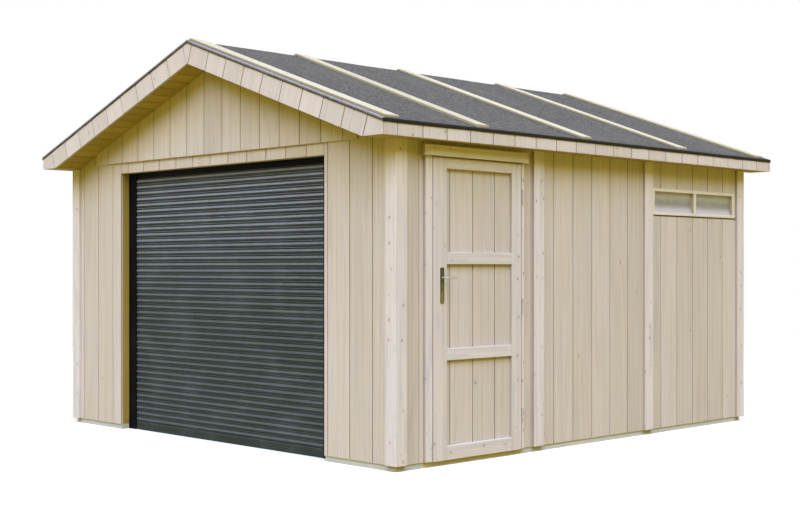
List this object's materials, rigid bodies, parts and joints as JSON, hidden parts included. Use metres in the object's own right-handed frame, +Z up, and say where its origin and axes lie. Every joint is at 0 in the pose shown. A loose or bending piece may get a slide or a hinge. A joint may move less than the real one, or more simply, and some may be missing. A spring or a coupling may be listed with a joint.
{
  "type": "prefab timber garage",
  "caption": "Timber garage of board-clad wall elements under a low felted gable roof, with a closed roller shutter in its gable, a hinged side door and a strip window.",
  "frame": {"origin": "centre of the building's outline on the ground", "axes": "+Z up; the gable with the roller shutter faces -Y and the side door faces +X"},
  "size_m": [4.156, 4.55, 2.9634],
  "materials": {
    "treated_timber": "sawn, pressure treated, pale grey green",
    "cladding": "untreated spruce boards with vertical grain",
    "trim_boards": "planed untreated spruce",
    "door_timber": "planed untreated spruce",
    "door_panel": "untreated spruce boards",
    "roof_timber": "sawn untreated spruce",
    "fascia_boards": "untreated spruce boards set side by side",
    "felt": "mineral surfaced bitumen felt",
    "felt_batten_timber": "sawn untreated spruce",
    "shutter_metal": "satin anthracite coating",
    "threshold_timber": "pressure treated, dark",
    "hinge_steel": "zinc plated",
    "plate_bronze": "dark bronze",
    "lever_metal": "satin",
    "window_paint": "pale painted timber",
    "window_pane": "clear glass"
  },
  "bodies": {
    "building": {"sill_front": "treated_timber", "sill_sides": "treated_timber", "sill_rear": "treated_timber", "front_wall_left": "cladding", "front_wall_right": "cladding", "front_lintel": "cladding", "front_gable": "cladding", "rear_wall": "cladding", "rear_gable": "cladding", "left_wall": "cladding", "right_wall_corner": "cladding", "right_wall_hinge_side": "cladding", "right_wall_over_door": "cladding", "right_wall_middle": "cladding", "right_wall_window": "cladding", "corner_boards_gables": "trim_boards", "corner_boards_sides": "trim_boards", "cover_battens": "trim_boards", "door_jambs": "trim_boards", "door_cap": "trim_boards", "rafters": "roof_timber", "tie_beams": "roof_timber", "roof_deck_left": "roof_timber", "roof_deck_right": "roof_timber", "soffits": "roof_timber", "verge_boards_left": "fascia_boards", "verge_boards_right": "fascia_boards", "eave_boards": "fascia_boards", "roof_felt_left": "felt", "roof_felt_right": "felt", "felt_battens": "felt_batten_timber", "shutter_curtain": "shutter_metal", "shutter_guides": "shutter_metal", "shutter_bottom_bar": "shutter_metal", "shutter_box": "shutter_metal", "door_threshold": "threshold_timber", "door_hinge_pins": "hinge_steel", "window_frame": "window_paint", "window_glass": "window_pane"},
    "side_door": {"door_boards": "door_panel", "door_stiles": "door_timber", "door_rails": "door_timber", "door_hinge_knuckles": "hinge_steel", "handle_plates": "plate_bronze"},
    "lever": {"handle_lever": "lever_metal"}
  },
  "joints": [
    {"name": "side_door_hinge", "type": "hinge", "parent": "building", "child": "side_door", "pos_m": [1.973, -0.8475, 0.25], "axis": [0, 0, 1], "range_deg": [0, 100]},
    {"name": "lever_turn", "type": "hinge", "parent": "side_door", "child": "lever", "pos_m": [1.965, -1.639, 1.23], "axis": [-1, 0, 0], "range_deg": [0, 40], "stiffness_Nm_per_rad": 1.2, "springref_deg": -20.05}
  ]
}
